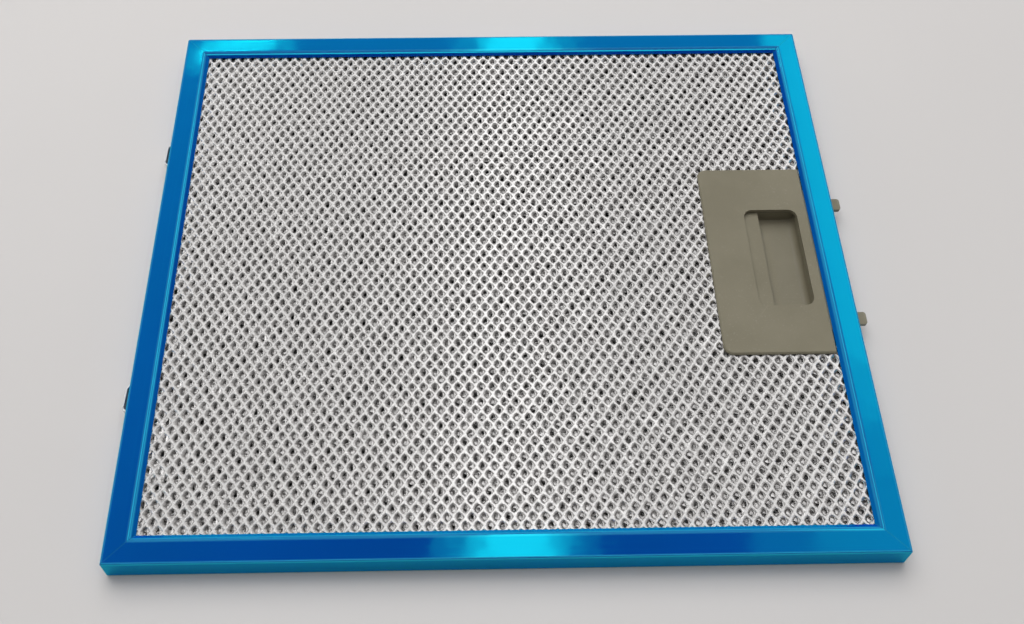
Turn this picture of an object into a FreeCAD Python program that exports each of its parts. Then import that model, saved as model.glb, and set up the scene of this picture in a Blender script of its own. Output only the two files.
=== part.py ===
"""Cooker hood grease filter: a folded aluminium frame round a stack of expanded mesh, with a sprung latch."""
import FreeCAD, Part
import math
import os
import Sketcher

Vector = FreeCAD.Vector

# Every driving dimension, in millimetres unless its comment says otherwise
SIZES = {
    # Frame: one aluminium strip, rolled to a channel and folded round four corners
    "frame_width": 305.0,
    "frame_height": 267.0,
    "frame_depth": 12.0,
    "sheet_metal": 0.5,
    "bend_radius": 0.8,
    "flange_width": 9.5,
    "lip_run": 2.2,
    "lip_drop": 1.6,
    "mitre_gap": 0.2,
    # Mesh: layers of expanded aluminium, with the real pitch and strand enlarged by one factor
    "mesh_layers": 5,
    "mesh_edge_gap": 1.0,
    "seat_gap": 0.05,
    "mesh_pitch_across": 4.7,
    "mesh_pitch_along": 6.9,
    "strand_width": 1.35,
    "crest_width": 0.4,
    "mesh_enlargement": 5.8,
    "crest_share": 0.6,
    # Latch housing, moulded with its front plate
    "plate_width": 47.2,
    "plate_length": 96.5,
    "plate_thickness": 1.3,
    "plate_corner": 4.0,
    "plate_edge": 0.6,
    "lip_clearance": 0.3,
    "roof_thickness": 0.7,
    "housing_wall": 1.5,
    "housing_end_gap": 1.7,
    "finger_width": 24.0,
    "finger_length": 50.0,
    "finger_corner": 4.0,
    "finger_setback": 5.0,
    "boss_diameter": 5.0,
    "boss_spacing": 32.0,
    "boss_overlap": 0.7,
    "notch_gap": 0.4,
    # Latch slider: a deck with a finger cup and two tongues
    "running_gap": 0.3,
    "latch_travel": 6.0,
    "deck_overlap": 6.5,
    "deck_half_length": 35.0,
    "deck_thickness": 1.5,
    "grip_strip": 7.0,
    "cup_wall": 1.2,
    "cup_scoop": 3.0,
    "cup_root": 1.0,
    "tongue_spacing": 60.0,
    "tongue_width": 6.0,
    "tongue_thickness": 1.8,
    "tongue_drop": 1.0,
    "tongue_reach": 5.0,
    "tongue_tip": 1.2,
    "abutment_length": 6.0,
    # Return springs, coiled wire on pegs
    "coil_wire": 0.5,
    "coil_diameter": 3.0,
    "coil_turns": 9,
    "coil_seat": 0.1,
    "coil_peg": 1.6,
    "coil_peg_length": 3.0,
    # Rear cover of the latch
    "cover_thickness": 1.3,
    "peg_diameter": 2.4,
    "peg_length": 4.0,
    "peg_gap": 0.05,
    "rail_thickness": 1.2,
    # Leaf springs on the side away from the latch
    "leaf_spacing": 126.0,
    "leaf_thickness": 0.4,
    "leaf_width": 5.5,
    "leaf_reach": 3.0,
    "leaf_ramp": 10.0,
    "leaf_return": 5.0,
    "leaf_tail": 4.0,
    "leaf_bend": 1.2,
    "leaf_wall_gap": 0.1,
    "window_gap": 0.6,
}

# Facets of the coiled wire
COIL_STEPS = 8
COIL_SIDES = 5

doc = FreeCAD.newDocument("grease_filter")
sheet = doc.addObject("Spreadsheet::Sheet", "Sizes")
for row, (alias, number) in enumerate(SIZES.items(), 1):
    sheet.set(f"A{row}", alias)
    sheet.set(f"B{row}", str(number))
    sheet.setAlias(f"B{row}", alias)
doc.recompute()


class Size:
    """A length that carries its value together with the sheet expression it comes from."""

    def __init__(self, text, value):
        self.text = text
        self.value = value

    def __add__(self, other):
        other = as_size(other)
        return Size(f"({self.text} + {other.text})", self.value + other.value)

    def __sub__(self, other):
        other = as_size(other)
        return Size(f"({self.text} - {other.text})", self.value - other.value)

    def __mul__(self, other):
        other = as_size(other)
        return Size(f"({self.text} * {other.text})", self.value * other.value)

    def __truediv__(self, other):
        other = as_size(other)
        return Size(f"({self.text} / {other.text})", self.value / other.value)

    def __neg__(self):
        return Size(f"(0 - {self.text})", -self.value)

    def root(self):
        return Size(f"sqrt({self.text})", math.sqrt(self.value))


def as_size(thing):
    return thing if isinstance(thing, Size) else Size(str(thing), float(thing))


def dim(alias):
    return Size(f"Sizes.{alias}", float(sheet.get(alias)))


# Places that several pieces share, worked out from the driving dimensions
half_width = dim("frame_width") / 2
half_height = dim("frame_height") / 2
depth = dim("frame_depth")
metal = dim("sheet_metal")
gap = dim("running_gap")
lip_length = (dim("lip_run") * dim("lip_run") + dim("lip_drop") * dim("lip_drop")).root()
lip_reach = dim("flange_width") + dim("lip_run")
lip_depth = dim("lip_drop") + metal * dim("lip_run") / lip_length
pack_top = depth - lip_depth - dim("seat_gap")
pack_bottom = lip_depth + dim("seat_gap")

plate_right = half_width - lip_reach - dim("lip_clearance")
plate_left = plate_right - dim("plate_width")
plate_half = dim("plate_length") / 2
plate_bottom = pack_top + dim("seat_gap")
finger_right = plate_right - dim("finger_setback")
finger_left = finger_right - dim("finger_width")
finger_half = dim("finger_length") / 2

deck_top = plate_bottom - dim("roof_thickness") - gap
deck_bottom = deck_top - dim("deck_thickness")
deck_left = finger_left - dim("deck_overlap")
deck_half = dim("deck_half_length")
housing_left = deck_left - dim("latch_travel") - gap - dim("housing_wall")
cavity_left = housing_left + dim("housing_wall")
housing_right = half_width - metal - dim("housing_end_gap")
cavity_right = housing_right - dim("housing_wall")
cavity_half = deck_half + gap
housing_half = cavity_half + dim("housing_wall")
housing_bottom = pack_bottom
boss_radius = dim("boss_diameter") / 2
boss_y = housing_half + boss_radius - dim("boss_overlap")
boss_left = housing_left + boss_radius
boss_right = boss_left + dim("boss_spacing")
cover_top = housing_bottom - dim("seat_gap")

cup_left = finger_left + dim("grip_strip")
cup_bottom = cover_top + gap
cup_floor = cup_bottom + dim("cup_wall")
tongue_y = dim("tongue_spacing") / 2
tongue_half = dim("tongue_width") / 2
tongue_top = deck_top - dim("tongue_drop")
tongue_bottom = tongue_top - dim("tongue_thickness")
abutment_left = cup_left + dim("cup_wall")
coil_z = (cover_top + deck_bottom) / 2

SIDES = (1, -1)
LATCH_CORNERS = [(x, side) for x in (boss_left, boss_right) for side in SIDES]


def new_body(label):
    body = doc.addObject("PartDesign::Body", label)
    body.Label = label
    return body


def origin_feature(body, role):
    return next(feature for feature in body.Origin.OriginFeatures if feature.Role == role)


def sketch_on(body, role, height=0):
    """An empty sketch on one of the body's own origin planes, lifted along that plane's normal."""
    sketch = body.newObject("Sketcher::SketchObject", body.Label + "_sketch")
    sketch.AttachmentSupport = [(origin_feature(body, role), "")]
    sketch.MapMode = "FlatFace"
    sketch.setExpression("AttachmentOffset.Base.z", as_size(height).text)
    return sketch


def pin_point(sketch, geometry, vertex, corner, bound):
    """Dimension one vertex from the sketch's origin."""
    for kind, size, axis in (("DistanceX", corner[0], -2), ("DistanceY", corner[1], -1)):
        size = as_size(size)
        if abs(size.value) < 1e-9:
            sketch.addConstraint(Sketcher.Constraint("PointOnObject", geometry, vertex, axis))
            continue
        index = sketch.addConstraint(Sketcher.Constraint(kind, -1, 1, geometry, vertex, size.value))
        bound.append((index, size))


def outline(sketch, corners, closed=True):
    """Straight runs between dimensioned corners; a corner's third value is its bend radius."""
    count = len(corners)
    places = [Vector(as_size(c[0]).value, as_size(c[1]).value, 0) for c in corners]
    radii = [as_size(c[2]) if len(c) > 2 else None for c in corners]
    starts = list(places)
    ends = list(places)
    for i, radius in enumerate(radii):
        if radius is None:
            continue
        back = (places[i - 1] - places[i]).normalize()
        ahead = (places[(i + 1) % count] - places[i]).normalize()
        setback = radius.value / math.tan(back.getAngle(ahead) / 2)
        ends[i] = places[i] + back * setback
        starts[i] = places[i] + ahead * setback
    runs = count if closed else count - 1
    lines = []
    for i in range(runs):
        lines.append(sketch.addGeometry(Part.LineSegment(starts[i], ends[(i + 1) % count])))
    bound = []
    for i, radius in enumerate(radii):
        before = lines[i - 1] if closed or i > 0 else None
        after = lines[i] if i < runs else None
        if radius is None:
            if before is not None and after is not None:
                sketch.addConstraint(Sketcher.Constraint("Coincident", before, 2, after, 1))
            if after is not None:
                pin_point(sketch, after, 1, corners[i], bound)
            else:
                pin_point(sketch, before, 2, corners[i], bound)
            continue
        add_bend(sketch, places[i], ends[i], starts[i], (before, after), radius, corners[i], bound)
    for index, size in bound:
        sketch.setExpression(f"Constraints[{index}]", size.text)
    return sketch


def add_bend(sketch, corner_place, first, last, neighbours, radius, corner, bound):
    """A tangent arc between two runs, with its sharp corner kept as a construction point."""
    before, after = neighbours
    middle_way = ((first + last) * 0.5 - corner_place).normalize()
    half_chord = (last - first).Length / 2
    lift = math.sqrt(max(radius.value**2 - half_chord**2, 0.0))
    centre = (first + last) * 0.5 + middle_way * lift
    summit = centre - middle_way * radius.value
    arc = sketch.addGeometry(Part.Arc(first, summit, last))
    turn = (first - centre).cross(last - centre).z
    entry, leave = (1, 2) if turn > 0 else (2, 1)
    sketch.addConstraint(Sketcher.Constraint("Tangent", before, 2, arc, entry))
    sketch.addConstraint(Sketcher.Constraint("Tangent", arc, leave, after, 1))
    point = sketch.addGeometry(Part.Point(corner_place), True)
    pin_point(sketch, point, 1, corner, bound)
    for line in neighbours:
        sketch.addConstraint(Sketcher.Constraint("PointOnObject", point, 1, line))
    index = sketch.addConstraint(Sketcher.Constraint("Radius", arc, radius.value))
    bound.append((index, radius))


def rectangle(sketch, left, low, right, high):
    return outline(sketch, [(left, low), (right, low), (right, high), (left, high)])


def latch_plate(sketch):
    """The outline of the latch's front and rear plates: square where they meet the frame's lip."""
    corner = dim("plate_corner")
    return outline(sketch, [(plate_left, -plate_half, corner), (plate_right, -plate_half),
                            (plate_right, plate_half), (plate_left, plate_half, corner)])


def circle(sketch, x, y, radius):
    x, y, radius = as_size(x), as_size(y), as_size(radius)
    ring = sketch.addGeometry(Part.Circle(Vector(x.value, y.value, 0), Vector(0, 0, 1), radius.value))
    bound = []
    pin_point(sketch, ring, 3, (x, y), bound)
    bound.append((sketch.addConstraint(Sketcher.Constraint("Radius", ring, radius.value)), radius))
    for index, size in bound:
        sketch.setExpression(f"Constraints[{index}]", size.text)
    return sketch


def extrude(body, kind, sketch, length, reverse=False, midplane=False):
    feature = body.newObject(f"PartDesign::{kind}", f"{body.Label}_{kind.lower()}")
    feature.Profile = sketch
    feature.setExpression("Length", as_size(length).text)
    feature.Reversed = reverse
    feature.Midplane = midplane
    doc.recompute()
    return feature


def pad(body, sketch, length, **options):
    return extrude(body, "Pad", sketch, length, **options)


def pocket(body, sketch, length, **options):
    """Cut a pocket, and stop if it took nothing away."""
    before = body.Shape.Volume
    feature = extrude(body, "Pocket", sketch, length, **options)
    if body.Shape.Volume > before - 1e-6:
        raise RuntimeError(f"{feature.Label} cuts nothing")
    return feature


def bevel_rim(body, height, size):
    """Bevel every edge of the body that lies at one height."""
    base = body.Tip
    names = []
    for i, edge in enumerate(base.Shape.Edges, 1):
        box = edge.BoundBox
        if max(abs(box.ZMin - height.value), abs(box.ZMax - height.value)) < 1e-4:
            names.append(f"Edge{i}")
    bevel = body.newObject("PartDesign::Chamfer", body.Label + "_bevel")
    bevel.Base = (base, names)
    bevel.setExpression("Size", size.text)
    doc.recompute()
    return bevel


def build_frame():
    body = new_body("frame_channel")
    bend = half_width - dim("flange_width")
    tip = bend - dim("lip_run")
    radius = dim("bend_radius")
    inner_radius = radius - metal
    inner_bend = bend + metal * (lip_length - dim("lip_run")) / dim("lip_drop")
    inner_tip = tip + metal * dim("lip_drop") / lip_length
    inner_wall = half_width - metal
    section = outline(sketch_on(body, "XZ_Plane"), [
        (tip, dim("lip_drop")), (bend, 0, radius), (half_width, 0, radius),
        (half_width, depth, radius), (bend, depth, radius), (tip, depth - dim("lip_drop")),
        (inner_tip, depth - lip_depth), (inner_bend, depth - metal, inner_radius),
        (inner_wall, depth - metal, inner_radius), (inner_wall, metal, inner_radius),
        (inner_bend, metal, inner_radius), (inner_tip, lip_depth)])
    route = outline(sketch_on(body, "XY_Plane"), [
        (half_width, 0), (half_width, half_height), (-half_width, half_height),
        (-half_width, -half_height), (half_width, -half_height)])
    channel = body.newObject("PartDesign::AdditivePipe", "frame_sweep")
    channel.Profile = section
    channel.Spine = (route, [])
    channel.Transition = "Right corner"
    doc.recompute()
    cut_mitres(body)
    cut_wall_openings(body)
    return body


def cut_mitres(body):
    """Seams where the flanges meet; the strip's two ends meet at the far left corner, wall and all."""
    slant = dim("mitre_gap") / Size("sqrt(2)", math.sqrt(2)) / 2
    inner_x = half_width - lip_reach - dim("lip_run")
    inner_y = half_height - lip_reach - dim("lip_run")
    seams = sketch_on(body, "XY_Plane")
    for side_x in SIDES:
        for side_y in SIDES:
            closing = side_x < 0 < side_y
            inset = -metal if closing else metal
            ends = [(inner_x, inner_y), (half_width - inset, half_height - inset)]
            (x0, y0), (x1, y1) = [(x * side_x, y * side_y) for x, y in ends]
            skew = slant * (side_x * side_y)
            outline(seams, [(x0 + skew, y0 - slant), (x1 + skew, y1 - slant),
                            (x1 - skew, y1 + slant), (x0 - skew, y0 + slant)])
    pocket(body, seams, depth, reverse=True)


def cut_wall_openings(body):
    """Slots for the latch tongues on the right, windows for the leaf springs on the left."""
    slots = sketch_on(body, "YZ_Plane", half_width + metal)
    for side in SIDES:
        rectangle(slots, tongue_y * side - tongue_half - gap, tongue_bottom - gap,
                  tongue_y * side + tongue_half + gap, tongue_top + gap)
    pocket(body, slots, metal * 3)
    windows = sketch_on(body, "YZ_Plane", -half_width - metal)
    leaf_half = dim("leaf_width") / 2 + gap
    for side in SIDES:
        near, far = leaf_ends(side)
        rectangle(windows, near - dim("window_gap"), depth / 2 - leaf_half,
                  far + dim("window_gap"), depth / 2 + leaf_half)
    pocket(body, windows, metal * 3, reverse=True)


def leaf_ends(side):
    """Where a leaf spring dips behind the wall, near end first."""
    middle = dim("leaf_spacing") / 2 * side
    span = dim("leaf_ramp") + dim("leaf_return")
    return middle - span / 2, middle + span / 2


def build_leaf_spring(label, side):
    """A bent strip: a tail behind the wall, a long ramp out, a crest, a short return and another tail."""
    body = new_body(label)
    near, far = leaf_ends(side)
    behind = -half_width + metal + dim("leaf_wall_gap") + dim("leaf_thickness") / 2
    crest = -half_width - dim("leaf_reach") + dim("leaf_thickness") / 2
    bend = dim("leaf_bend")
    start = far + dim("leaf_tail")
    route = outline(sketch_on(body, "XY_Plane", depth / 2), [
        (behind, start), (behind, far, bend), (crest, near + dim("leaf_return"), bend),
        (behind, near, bend), (behind, near - dim("leaf_tail"))], closed=False)
    section = sketch_on(body, "XZ_Plane", -start)
    rectangle(section, behind - dim("leaf_thickness") / 2, (depth - dim("leaf_width")) / 2,
              behind + dim("leaf_thickness") / 2, (depth + dim("leaf_width")) / 2)
    strip = body.newObject("PartDesign::AdditivePipe", label + "_sweep")
    strip.Profile = section
    strip.Spine = (route, [])
    doc.recompute()
    return body


def build_housing():
    body = new_body("latch_housing")
    pad(body, latch_plate(sketch_on(body, "XY_Plane", plate_bottom)), dim("plate_thickness"))
    bevel_rim(body, plate_bottom + dim("plate_thickness"), dim("plate_edge"))
    # The box under the plate, and the bosses that take the rear cover's pegs
    box = rectangle(sketch_on(body, "XY_Plane", housing_bottom), housing_left, -housing_half,
                    housing_right, housing_half)
    pad(body, box, plate_bottom - housing_bottom)
    bosses = sketch_on(body, "XY_Plane", housing_bottom)
    peg_holes = sketch_on(body, "XY_Plane", housing_bottom)
    for x, side in LATCH_CORNERS:
        circle(bosses, x, boss_y * side, boss_radius)
        circle(peg_holes, x, boss_y * side, dim("peg_diameter") / 2 + dim("peg_gap"))
    pad(body, bosses, plate_bottom - housing_bottom)
    cavity = rectangle(sketch_on(body, "XY_Plane", housing_bottom), cavity_left, -cavity_half,
                       cavity_right, cavity_half)
    pocket(body, cavity, deck_top + gap - housing_bottom, reverse=True)
    corner = dim("finger_corner")
    mouth = outline(sketch_on(body, "XY_Plane", deck_top), [
        (finger_left, -finger_half, corner), (finger_right, -finger_half, corner),
        (finger_right, finger_half, corner), (finger_left, finger_half, corner)])
    pocket(body, mouth, depth, reverse=True)
    pocket(body, peg_holes, dim("peg_length") + gap, reverse=True)
    notches = sketch_on(body, "YZ_Plane", cavity_right - gap)
    for side in SIDES:
        rectangle(notches, tongue_y * side - tongue_half - gap, housing_bottom - gap,
                  tongue_y * side + tongue_half + gap, tongue_top + gap)
    pocket(body, notches, dim("housing_wall") + gap * 2, reverse=True)
    pegs = sketch_on(body, "YZ_Plane", cavity_left)
    for side in SIDES:
        circle(pegs, tongue_y * side, coil_z, dim("coil_peg") / 2)
    pad(body, pegs, dim("coil_peg_length"))
    return body


def cup_section(sketch, wall, rim):
    """The finger cup's cross-section, grown by a wall: a tight root at the pull side, a scoop opposite."""
    return outline(sketch, [
        (cup_left - wall, rim), (cup_left - wall, cup_floor - wall, dim("cup_root") + wall),
        (finger_right + wall, cup_floor - wall, dim("cup_scoop") + wall), (finger_right + wall, rim)])


def build_slider():
    body = new_body("latch_slider")
    deck_right = cavity_right - gap
    deck = rectangle(sketch_on(body, "XY_Plane", deck_bottom), deck_left, -deck_half, deck_right, deck_half)
    pad(body, deck, dim("deck_thickness"))
    cup = cup_section(sketch_on(body, "XZ_Plane"), dim("cup_wall"), deck_top)
    pad(body, cup, dim("finger_length") + dim("cup_wall") * 2, midplane=True)
    hollow = cup_section(sketch_on(body, "XZ_Plane"), as_size(0), deck_top + gap)
    pocket(body, hollow, dim("finger_length"), midplane=True)
    tongues = sketch_on(body, "XY_Plane", tongue_bottom)
    abutments = sketch_on(body, "XY_Plane", cup_bottom)
    pegs = sketch_on(body, "YZ_Plane", abutment_left)
    tongue_end = half_width + dim("tongue_reach")
    abutment_right = abutment_left + dim("abutment_length")
    for side in SIDES:
        low = tongue_y * side - tongue_half
        high = tongue_y * side + tongue_half
        tip = dim("tongue_tip")
        outline(tongues, [(abutment_left, low), (tongue_end, low, tip), (tongue_end, high, tip),
                          (abutment_left, high)])
        rectangle(abutments, abutment_left, low, abutment_right, high)
        circle(pegs, tongue_y * side, coil_z, dim("coil_peg") / 2)
    pad(body, tongues, dim("tongue_thickness"))
    pad(body, abutments, deck_bottom - cup_bottom)
    pad(body, pegs, dim("coil_peg_length"), reverse=True)
    return body


def build_back_cover():
    body = new_body("latch_back_cover")
    cover_bottom = cover_top - dim("cover_thickness")
    pad(body, latch_plate(sketch_on(body, "XY_Plane", cover_bottom)), dim("cover_thickness"))
    bevel_rim(body, cover_bottom, dim("plate_edge"))
    pegs = sketch_on(body, "XY_Plane", cover_top)
    for x, side in LATCH_CORNERS:
        circle(pegs, x, boss_y * side, dim("peg_diameter") / 2)
    pad(body, pegs, dim("peg_length"))
    # Rails that carry the edges of the slider's deck
    rails = sketch_on(body, "XY_Plane", cover_top)
    rail_outer = cavity_half - gap
    rail_inner = rail_outer - dim("rail_thickness")
    for low, high in ((rail_inner, rail_outer), (-rail_outer, -rail_inner)):
        rectangle(rails, cavity_left + gap, low, plate_right - gap, high)
    pad(body, rails, deck_bottom - gap - cover_top)
    return body


def build_coil(label, side):
    """A compression spring as a faceted helix between the housing's wall and the slider's abutment."""
    seat = dim("coil_seat").value
    wire = dim("coil_wire").value / 2
    radius = dim("coil_diameter").value / 2 - wire
    first = cavity_left.value + seat + wire
    last = abutment_left.value - seat - wire
    count = int(dim("coil_turns").value * COIL_STEPS)
    points = []
    for i in range(count + 1):
        angle = 2 * math.pi * i / COIL_STEPS
        along = first + (last - first) * i / count
        points.append(Vector(along, radius * math.cos(angle), radius * math.sin(angle)))
    turn = FreeCAD.Rotation(Vector(0, 0, 1), points[1] - points[0])
    rim = []
    for i in range(COIL_SIDES + 1):
        angle = 2 * math.pi * i / COIL_SIDES
        rim.append(points[0] + turn.multVec(Vector(wire * math.cos(angle), wire * math.sin(angle), 0)))
    coil = doc.addObject("Part::Feature", label)
    coil.Label = label
    coil.Shape = Part.makePolygon(points).makePipeShell([Part.makePolygon(rim)], True, True, 1)
    coil.Placement.Base = Vector(0, tongue_y.value * side, coil_z.value)
    return coil


def diamond(centre, half_x, half_y, height):
    """A closed diamond wire at one height."""
    corners = [(half_x, 0), (0, half_y), (-half_x, 0), (0, -half_y), (half_x, 0)]
    return Part.makePolygon([Vector(centre[0] + x, centre[1] + y, height) for x, y in corners])


def mesh_gaps(half_x, half_y, notch, cell, column_shift):
    """Centres of the cells that lie whole on the sheet, in staggered rows clear of the latch."""
    notch_left, notch_half = notch
    columns = int(half_x / cell[0]) + 1
    rows = int(2 * half_y / cell[1]) + 1
    centres = []
    for row in range(-rows, rows + 1):
        y = row * cell[1] / 2
        for column in range(-columns, columns + 1):
            x = (column + column_shift + 0.5 * (row % 2)) * cell[0]
            outside = abs(x) + cell[0] / 2 > half_x or abs(y) + cell[1] / 2 > half_y
            at_latch = x + cell[0] / 2 > notch_left and abs(y) - cell[1] / 2 < notch_half
            if not outside and not at_latch:
                centres.append((x, y))
    return centres


def build_mesh(label, layer, face):
    """One layer of expanded metal; an outer one has strands that rise to a crest on its face side."""
    edge = metal.value + dim("mesh_edge_gap").value
    half_x = half_width.value - edge
    half_y = half_height.value - edge
    layers = int(dim("mesh_layers").value)
    spacing = (pack_top.value - pack_bottom.value + dim("seat_gap").value) / layers
    thickness = spacing - dim("seat_gap").value
    notch = (housing_left.value - dim("notch_gap").value,
             boss_y.value + boss_radius.value + dim("notch_gap").value)
    pitch = (dim("mesh_pitch_across").value, dim("mesh_pitch_along").value)
    enlarged = dim("mesh_enlargement").value
    cell = (pitch[0] * enlarged, pitch[1] * enlarged)
    slant = math.hypot(1 / pitch[0], 1 / pitch[1])
    crest = 1 - dim("crest_width").value * slant
    hole = 1 - dim("strand_width").value * slant
    if not face:
        # Inner layers show only through the outer ones, so their cells are twice as large
        cell = (cell[0] * 2, cell[1] * 2)
        hole = hole / 2
    sheet_outline = Part.makePolygon([
        Vector(-half_x, -half_y), Vector(half_x, -half_y), Vector(half_x, -notch[1]),
        Vector(notch[0], -notch[1]), Vector(notch[0], notch[1]), Vector(half_x, notch[1]),
        Vector(half_x, half_y), Vector(-half_x, half_y), Vector(-half_x, -half_y)])
    blank = Part.Face(sheet_outline).extrude(Vector(0, 0, thickness))
    cuts = []
    for centre in mesh_gaps(half_x, half_y, notch, cell, 0.25 if face else 0):
        half_cell = (cell[0] / 2, cell[1] / 2)
        small = diamond(centre, half_cell[0] * hole, half_cell[1] * hole, 0)
        cuts.append(Part.Face(small).extrude(Vector(0, 0, thickness)))
        if face:
            rim_height = thickness * (1 - dim("crest_share").value)
            rim = diamond(centre, half_cell[0] * hole, half_cell[1] * hole, rim_height)
            wide = diamond(centre, half_cell[0] * crest, half_cell[1] * crest, thickness)
            cuts[-1] = cuts[-1].fuse(Part.makeLoft([rim, wide], True, True)).removeSplitter()
    shape = blank.cut(cuts)
    if face < 0:
        shape = shape.mirror(Vector(0, 0, thickness / 2), Vector(0, 0, 1))
    mesh = doc.addObject("Part::Feature", label)
    mesh.Label = label
    mesh.Shape = shape.Solids[0] if len(shape.Solids) == 1 else shape
    mesh.Placement.Base = Vector(0, 0, pack_bottom.value + layer * spacing)
    return mesh


def build_meshes():
    last = int(dim("mesh_layers").value) - 1
    pieces = [build_mesh("back_mesh", 0, -1)]
    for layer in range(1, last):
        pieces.append(build_mesh(f"inner_mesh_{layer}", layer, 0))
    pieces.append(build_mesh("front_mesh", last, 1))
    return pieces


parts = [
    build_frame(),
    *build_meshes(),
    build_housing(),
    build_slider(),
    build_back_cover(),
    build_coil("latch_spring_far", 1),
    build_coil("latch_spring_near", -1),
    build_leaf_spring("leaf_spring_far", 1),
    build_leaf_spring("leaf_spring_near", -1),
]
doc.recompute()

for thing in doc.Objects:
    if "Invalid" in thing.State or "Error" in thing.State:
        raise RuntimeError(f"{thing.Label} did not compute: {thing.State}")
for piece in parts:
    if piece.Shape.isNull() or not piece.Shape.isValid() or len(piece.Shape.Solids) != 1:
        raise RuntimeError(f"{piece.Label} is not one sound solid")

os.makedirs("parts", exist_ok=True)
for piece in parts:
    piece.Shape.exportStep(f"parts/{piece.Label}.step")
    print(piece.Label, round(piece.Shape.Volume, 1), "mm3")
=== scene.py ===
"""Looks of a cooker hood grease filter: film-covered frame, expanded mesh stack, latch and springs."""
import math

import bmesh
import bpy
import numpy as np
from mathutils import Matrix, Vector


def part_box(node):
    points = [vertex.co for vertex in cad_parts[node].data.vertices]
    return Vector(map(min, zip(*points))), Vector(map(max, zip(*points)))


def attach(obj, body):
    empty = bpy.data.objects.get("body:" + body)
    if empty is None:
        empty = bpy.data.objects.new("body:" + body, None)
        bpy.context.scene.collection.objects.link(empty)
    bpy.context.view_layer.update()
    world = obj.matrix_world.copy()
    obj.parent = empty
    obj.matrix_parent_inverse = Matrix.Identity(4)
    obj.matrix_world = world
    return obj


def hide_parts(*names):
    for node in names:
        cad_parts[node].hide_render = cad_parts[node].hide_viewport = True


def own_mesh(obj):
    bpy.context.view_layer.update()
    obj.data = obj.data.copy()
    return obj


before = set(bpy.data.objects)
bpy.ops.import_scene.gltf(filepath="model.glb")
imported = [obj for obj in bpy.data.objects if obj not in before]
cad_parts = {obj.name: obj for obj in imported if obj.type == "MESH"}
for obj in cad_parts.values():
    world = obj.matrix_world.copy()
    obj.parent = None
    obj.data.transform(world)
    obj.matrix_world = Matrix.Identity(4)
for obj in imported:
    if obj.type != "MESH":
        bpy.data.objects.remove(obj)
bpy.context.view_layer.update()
MM = 0.001


def box_mm(node):
    """A node's lowest and highest corner in millimetres."""
    return [np.array(corner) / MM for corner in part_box(node)]


# Frame channel, in millimetres and degrees
HALF_WIDTH, HALF_HEIGHT, DEPTH = box_mm("frame_channel")[1]
SHEET = 0.5
BEND = 0.8
LIP_BEND = 3.0
BEND_STEPS = 6
FULL_BEND = 6.0
FLAT_MARGIN = 0.3
FLANGE = 9.5
LIP_RUN = 2.2
LIP_DROP = 1.6
LIP_LENGTH = math.hypot(LIP_RUN, LIP_DROP)
WALL_LEAN = 0.7
WALL_TOLERANCE = 1e-6
COLUMN_COUNT = 19
COLUMN_MARGIN = 16.0
FOLD_RADIUS = 0.6
FOLD_STEPS = 5
MITRE_RETREAT = 0.06
MITRE_EDGE = 0.5
# Mitred ends are drawn at least this pale, a thin paler line along each seam
MITRE_PALING = 0.6
SIDE_RUN = 300.0
FRAME_CRISP = 38.0

# Openings in the frame's walls: the tongues' slots and the leaf springs' windows, by side
RIGHT, FAR, LEFT, NEAR = range(4)
SLIDER_TOP = box_mm("latch_slider")[1][2]
TONGUE_SLOT_Y = (26.7, 33.3)
TONGUE_SLOT_Z = (SLIDER_TOP - 3.1, SLIDER_TOP - 0.7)
LEAF_LOW, LEAF_HIGH = box_mm("leaf_spring_far")
LEAF_WINDOW_Y = (54.9, 71.1)
LEAF_WINDOW_Z = (LEAF_LOW[2] - 0.3, LEAF_HIGH[2] + 0.3)
WALL_CUTS = {RIGHT: (TONGUE_SLOT_Y, TONGUE_SLOT_Z), LEFT: (LEAF_WINDOW_Y, LEAF_WINDOW_Z)}

# Expanded mesh, in millimetres and degrees
CELL_ACROSS = 4.7
CELL_ALONG = 6.9
CELL_COLUMNS = 44
CELL_ROWS = 60
SHEET_MARGIN = 0.4
NOTCH_LEFT = 96.9
NOTCH_HALF = 41.6
CREST_DEPTH = 0.08
CREST_JITTER = 0.02
SHOULDER_ACROSS = 1.72
SHOULDER_ALONG = 2.22
SHOULDER_ROUND = 0.64
SHOULDER_DROP = 0.015
GROOVE_DROP = 0.5
HOLE_ACROSS = 1.02
HOLE_ALONG = 1.42
HOLE_ROUND = 0.66
HOLE_ASIDE = 0.36
HOLE_DROP = 0.62
HOLE_TILT = 0.2
RIDGE_IN = 0.4
RIDGE_LIFT = 0.40
RIDGE_END_IN = RIDGE_IN / 3
RIDGE_END_LIFT = RIDGE_LIFT * 0.7
FOIL = 0.24
MESH_CRISP = 30.0
DRIFT_SEED = 100

# How uneven the holes are: spreads of their size, of their points in millimetres, of their shift and tilt
SIZE_SPREAD = 0.04
SIZE_LIMITS = (0.9, 1.08)
POINT_SPREAD_ACROSS = 0.03
POINT_SPREAD_ALONG = 0.045
ASIDE_SPREAD = 0.06
TILT_SPREAD = 0.25

# A cell's eight border points in quarter cells, and the same directions round its hole
AROUND = [(2, 0), (1, 1), (0, 2), (-1, 1), (-2, 0), (-1, -1), (0, -2), (1, -1)]
EIGHTHS = np.arange(8) * math.pi / 4

# How far each of those points counts as a whitened crest, on a shoulder and on the rim within it; the
# whitening is partly rubbed metal and partly a painted highlight
SHOULDER_WHITE = [0.0, 0.5, 0.55, 0.55, 0.55, 0.55, 0.55, 0.5]
RIM_WHITE = [1.0, 0.55, 0.0, 0.0, 0.0, 0.0, 0.0, 0.55]
BARE = [0.0] * 8

# Latch mouldings, in millimetres and degrees
WELD = 0.002
SAME_FACE = 1.0

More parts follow.
